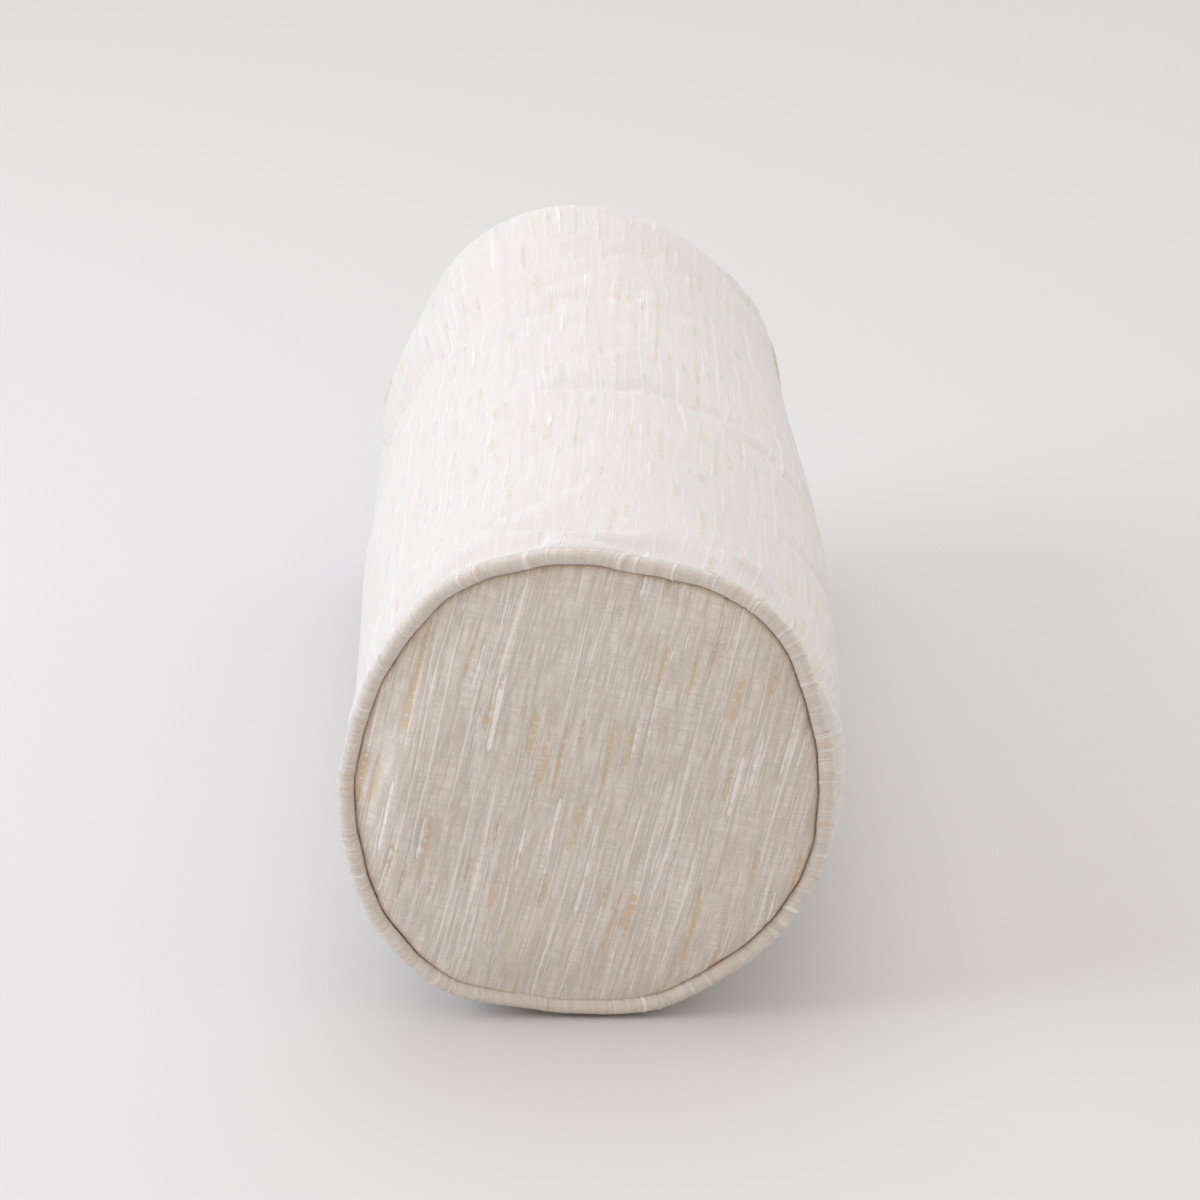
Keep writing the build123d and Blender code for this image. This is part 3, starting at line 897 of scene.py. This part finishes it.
def folded_row(gap):
    """One row of the tube's cloth, from under one folded edge round to the other.

    Returns distances round from the zip, and depths under the tube's surface."""
    turns = np.linspace(math.pi, 0, 6)
    near = gap + np.concatenate([[LIP + LIP_UNDER], LIP - LIP * np.sin(turns)])
    far = PERIMETER - near[::-1]
    even = np.linspace(0, 1, COLUMNS + 1)[1:-1]
    arc = np.concatenate([near, near[-1] + (far[0] - near[-1]) * even, far])
    lip = np.concatenate([[2 * LIP], LIP - LIP * np.cos(turns)])
    return arc, np.concatenate([lip, np.zeros(len(even)), lip[::-1]])


def add_tube():
    fine = np.linspace(HALF - END_ZONE, HALF - END_GAP, END_ROWS)
    middle = np.linspace(-(HALF - END_ZONE), HALF - END_ZONE, MIDDLE_ROWS)
    y = np.concatenate([-fine[::-1][:-1], middle, fine[1:]])
    sewn = smooth((np.abs(y) - ZIP_HALF) / SLIT_END)
    gaps = LIP_GAP * (1 - sewn) + SEWN_GAP * sewn
    arc, inset = (np.array(part) for part in zip(*map(folded_row, gaps)))
    s = arc / PERIMETER
    places = np.linspace(0, 1, WRINKLE_SAMPLES)
    field = tube_wrinkles(places, y)
    wrinkle = [np.interp(row, places, column) for row, column in zip(s, field.T)]
    wrinkle = np.array(wrinkle) * still_by_zip(np.minimum(arc, PERIMETER - arc))
    grid_y = np.repeat(y[:, None], s.shape[1], 1)
    points = tube_points(s, grid_y, inset, wrinkle)
    lean = SKEW * SKEW_REACH * np.exp(-(grid_y + HALF) / SKEW_REACH)
    cloth = np.stack([arc + lean, grid_y + TUBE_CUT, np.zeros_like(arc)], -1)
    return make_object("tube_cloth", points, grid_faces(*s.shape), cloth)


DISC_SQUARES = 310
YARN_LEANS = {-1: 14, 1: -6}  # of each end panel, in degrees
SEAM_SHADE_SHARE, SEAM_SHADE_REACH = 0.9, 1.1  # share of painted brown shade right in the seam's crease, and how far in it reaches


def add_disc(end_name):
    end = ENDS[end_name]
    a, b = square_grid(DISC_SQUARES)
    places = np.linspace(0, SQUARES, DISC_SQUARES + 1)
    points, _ = disc_points(a, b, end, resample(folds[end], places, places))
    depth = (1 - np.maximum(np.abs(a), np.abs(b))) * RADIUS
    lean = math.radians(YARN_LEANS[end])
    x, z = points[..., 0] * -end, points[..., 2]
    across = x * math.cos(lean) - z * math.sin(lean) + END_CUTS[end][0]
    up = x * math.sin(lean) + z * math.cos(lean) + END_CUTS[end][1]
    # The z of the cloth attribute is painted shade, strongest in the crease at the seam.
    cloth = np.stack([across, up, SEAM_SHADE_SHARE * np.exp(-depth / SEAM_SHADE_REACH)], -1)
    faces = grid_faces(*a.shape, flip=end < 0)
    return make_object("end_cloth_" + end_name, points, faces, cloth)


def piping_path(s, end):
    """The middle of the piping at one end, which the cord inside follows too."""
    path = seam_ring(s, 0.0, 0.0, end)
    path[:, 1] += end * seam_wobble(s, 1.0 + end)
    path[:, 2] = np.maximum(path[:, 2], PIPING_RADIUS)
    return path


PIPING_STEPS, PIPING_SIDES = 1500, 18
UNEVEN = 0.03  # how much the piping's thickness varies, as a share of it
UNEVEN_TURNS = (23, 9)  # thicker places round it, and the slower wave that varies them
BIAS = 1.2  # how far the piping's yarns lean to and fro round it


def add_piping(end_name):
    end = ENDS[end_name]
    s = np.arange(PIPING_STEPS) / PIPING_STEPS
    fast, slow = (s * TAU * turns for turns in UNEVEN_TURNS)
    thickness = 1 + UNEVEN * np.sin(fast) * np.sin(slow + 1)
    radius = PIPING_RADIUS * thickness[:, None]
    angle = round_angles(PIPING_SIDES)
    arc = s[:, None] * PERIMETER + BIAS * np.sin(angle)
    around = angle * PIPING_RADIUS + PIPING_CUTS[end]
    cloth = np.stack(np.broadcast_arrays(arc, around, 0.0), -1)
    name = "piping_cloth_" + end_name
    return add_ring(name, piping_path(s, end), radius, PIPING_SIDES, cloth)


CORD_RADIUS = 2.0
CORD_STEPS, CORD_SIDES = 720, 12
STRANDS, STRAND_TURNS = 3, 60
STRAND_DEPTH = 0.07  # of the grooves between strands, as a share of the radius
SEWING_STEPS, SEWING_SIDES = 600, 6
SEWING_RADIUS = 0.2
SEWING_INSET = 6.0  # from the seam's outline in to the line of sewing
SEWING_DEPTH = 2.4  # from the middle of the piping in along the bolster


def add_cord(end_name):
    """The twisted cord inside the piping."""
    s = np.arange(CORD_STEPS) / CORD_STEPS
    twist = STRANDS * round_angles(CORD_SIDES) - s[:, None] * TAU * STRAND_TURNS
    groove = 1 - STRAND_DEPTH + STRAND_DEPTH * np.abs(np.cos(twist / 2))
    path = piping_path(s, ENDS[end_name])
    return add_ring("cord_" + end_name, path, CORD_RADIUS * groove, CORD_SIDES)


def add_sewing(end_name):
    s = np.arange(SEWING_STEPS) / SEWING_STEPS
    path = seam_ring(s, SEWING_INSET, -SEWING_DEPTH, ENDS[end_name])
    return add_ring("sewing_" + end_name, path, SEWING_RADIUS, SEWING_SIDES)


INSERT_SQUARES = (160, 90, 40)  # round it, along it and across each end
INSERT_HALF = HALF - 4
INSERT_SHARE = 0.985  # of that half length is used by its tube
CHANNEL_DEPTH, CHANNEL_REACH = 5.5, 12.0  # of the hollow behind the zip
TAPER, TAPER_START, TAPER_LENGTH = 9.0, HALF - 24, 20
INSERT_SEAM = 2.7  # from the seam's outline in to the insert's own end seam
INSERT_END_GAP = 1.5  # how much further in its ends are than its tube


def add_insert(name, gap):
    """A closed filled form under the cover, this far in from it, hollowed behind the
    zip and tapered at its ends."""
    around, along, squares = INSERT_SQUARES
    s = np.arange(around) / around
    y = np.linspace(-INSERT_HALF, INSERT_HALF, along + 1)
    grid_s, grid_y = np.meshgrid(s, y, indexing="ij")
    from_zip = np.minimum(grid_s, 1 - grid_s) * PERIMETER
    channel = CHANNEL_DEPTH * bump(from_zip, 0, CHANNEL_REACH)
    taper = TAPER * smooth((np.abs(grid_y) - TAPER_START) / TAPER_LENGTH) ** 2
    field = tube_wrinkles(s, y) * still_by_zip(from_zip)
    tube = tube_points(grid_s, grid_y * INSERT_SHARE, gap + channel + taper, field)
    a, b = square_grid(squares)
    reach = np.maximum(np.abs(a), np.abs(b))[..., None]
    discs = {}
    for end in ENDS.values():
        disc, disc_s = disc_points(a, b, end)
        ring = np.rint(disc_s * around).astype(int) % around
        edge_points = tube[ring, 0 if end < 0 else along]
        rim = seam_ring(disc_s, INSERT_SEAM, 0.0, end)
        disc = disc + reach**3 * (edge_points - rim)
        disc[..., 1] -= end * (gap + INSERT_END_GAP) * (1 - reach[..., 0] ** 3)
        discs[end] = (disc, disc_s)
    points, faces, _ = weld(tube, discs)
    return make_object(name, points, faces)


def finish_piece(piece, material, slot, *nodes):
    piece.data.materials.clear()
    piece.data.materials.append(material)
    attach(piece, "cover")
    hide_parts(*nodes)


tube = add_tube()
raise_slubs(tube, SLUB_SHARE["tube"])
finish_piece(tube, tube_cloth, "cover_cloth", "tube_panel")
for end_name in ENDS:
    disc = add_disc(end_name)
    raise_slubs(disc, SLUB_SHARE["end"])
    finish_piece(disc, end_cloth, "cover_cloth", "end_panel_" + end_name)
    piping = add_piping(end_name)
    raise_slubs(piping, SLUB_SHARE["piping"])
    finish_piece(piping, piping_cloth, "cover_cloth", "piping_cover_" + end_name)
    cord = add_cord(end_name)
    finish_piece(cord, cotton, "piping_cord", "piping_cord_" + end_name)
    sewing = add_sewing(end_name)
    finish_piece(sewing, thread, "sewing_thread", "seam_thread_" + end_name)
case = add_insert("insert_case", gap=3.2)
finish_piece(
    case, ticking, "insert_case", "insert_tube", "insert_end_front", "insert_end_rear"
)
filling = add_insert("insert_fibre", gap=4.4)
finish_piece(filling, fibre, "fibre_filling", "insert_filling")

NODE_MATERIALS = {
    "tube_seam_thread": thread,
    "zip_stitching": thread,
    "zip_tape_upper": tape_weave,
    "zip_tape_lower": tape_weave,
    "zip_teeth_upper": coil,
    "zip_teeth_lower": coil,
    "zip_top_stops": enamel,
    "zip_bottom_stop": enamel,
    "zip_slider": enamel,
    "zip_pull_tab": enamel,
}
for node, material in NODE_MATERIALS.items():
    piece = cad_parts[node]
    for material_slot in piece.material_slots:
        material_slot.material = material


# ---- floor, light and camera -------------------------------------------------

FLOOR_HALF = 6000.0
# Painted light: the floor is coloured lighter and cooler with distance, so that it fades
# into the bright horizon.
FLOOR_NEAR = (0.686, 0.677, 0.672)
FLOOR_FAR = (0.87, 0.885, 0.90)
FLOOR_FADE = (1500.0, 3600.0)  # distances over which the floor is painted lighter towards the horizon


def add_floor():
    corners = [(-1, -1, 0), (1, -1, 0), (1, 1, 0), (-1, 1, 0)]
    floor = make_object("floor", np.array(corners) * FLOOR_HALF, [(0, 1, 2, 3)])
    material, tree, shader = new_material("floor", FLOOR_NEAR, 0.9)
    away = tree.nodes.new("ShaderNodeVectorMath")
    away.operation = "LENGTH"
    tree.links.new(object_space(tree), away.inputs[0])
    far = ramp(tree, away.outputs["Value"], *FLOOR_FADE)
    colour = mix_colour(tree, far, FLOOR_NEAR, FLOOR_FAR)
    tree.links.new(colour, shader.inputs["Base Color"])
    shader.inputs["Specular IOR Level"].default_value = 0.1
    floor.data.materials.append(material)


def aim(thing, target):
    direction = np.array(target) - np.array(thing.location)
    flat = math.hypot(direction[0], direction[1])
    thing.rotation_euler = (
        math.atan2(flat, -direction[2]),
        0,
        math.atan2(direction[1], direction[0]) - math.pi / 2,
    )


def add_area_light(name, location, target, size, power, colour):
    light = bpy.data.lights.new(name, "AREA")
    light.shape = "DISK"
    light.size = size
    light.energy = power
    light.color = colour
    thing = bpy.data.objects.new(name, light)
    thing.location = location
    aim(thing, target)
    bpy.context.collection.objects.link(thing)


# The sky is a different grey in front, behind, to the right and at the horizon, like a
# room with a window on the left.
HORIZON_BAND = (0.10, 0.20)  # heights over which the horizon's grey turns into the sky
HORIZON = (0.72, 0.71, 0.70)
FRONT_HORIZON = (0.44, 0.33, 0.24)
FRONT_SKY = (0.465, 0.315, 0.20)
BACK_SKY = (0.64, 0.73, 0.76)
RIGHT_SKY = (0.53, 0.54, 0.57)  # added towards the right


def add_sky():
    world = bpy.data.worlds.new("studio")
    world.use_nodes = True
    tree = world.node_tree
    direction = tree.nodes.new("ShaderNodeTexCoord").outputs["Generated"]
    x, y, z = parts_of(tree, direction)
    backward = ramp(tree, y, -1.0, 1.0, curve="LINEAR")
    rightward = ramp(tree, x, -1.0, 1.0, curve="LINEAR")
    glow = mix_colour(tree, backward, FRONT_SKY, BACK_SKY)
    glow = mix_colour(tree, rightward, glow, RIGHT_SKY, "ADD")
    band = mix_colour(tree, ramp(tree, y, -1.0, -0.3), FRONT_HORIZON, HORIZON)
    glow = mix_colour(tree, ramp(tree, z, *HORIZON_BAND), band, glow)
    tree.links.new(glow, tree.nodes["Background"].inputs["Color"])
    bpy.context.scene.world = world


CAMERA_PLACE = (-0.013, -1.562, 0.696)
CAMERA_TURN = (68.3, 0, -0.68)  # in degrees
CAMERA_LENS, CAMERA_SENSOR = 121.8, 36.0


def add_camera():
    lens = bpy.data.cameras.new("camera")
    lens.sensor_width = CAMERA_SENSOR
    lens.lens = CAMERA_LENS
    camera = bpy.data.objects.new("camera", lens)
    camera.location = CAMERA_PLACE
    camera.rotation_euler = [math.radians(angle) for angle in CAMERA_TURN]
    bpy.context.collection.objects.link(camera)
    bpy.context.scene.camera = camera


add_floor()
add_area_light(
    "left",
    location=(-1.6, -0.3, 0.95),
    target=(0, 0, 0.05),
    size=1.3,
    power=18.0,
    colour=(0.81, 0.87, 1.0),
)
add_area_light(
    "overhead",
    location=(-0.2, 0.9, 2.8),
    target=(0, 0.1, 0.05),
    size=2.6,
    power=20.8,
    colour=(0.96, 0.92, 1.0),
)
add_sky()
add_camera()
bpy.context.scene.view_settings.view_transform = "Standard"
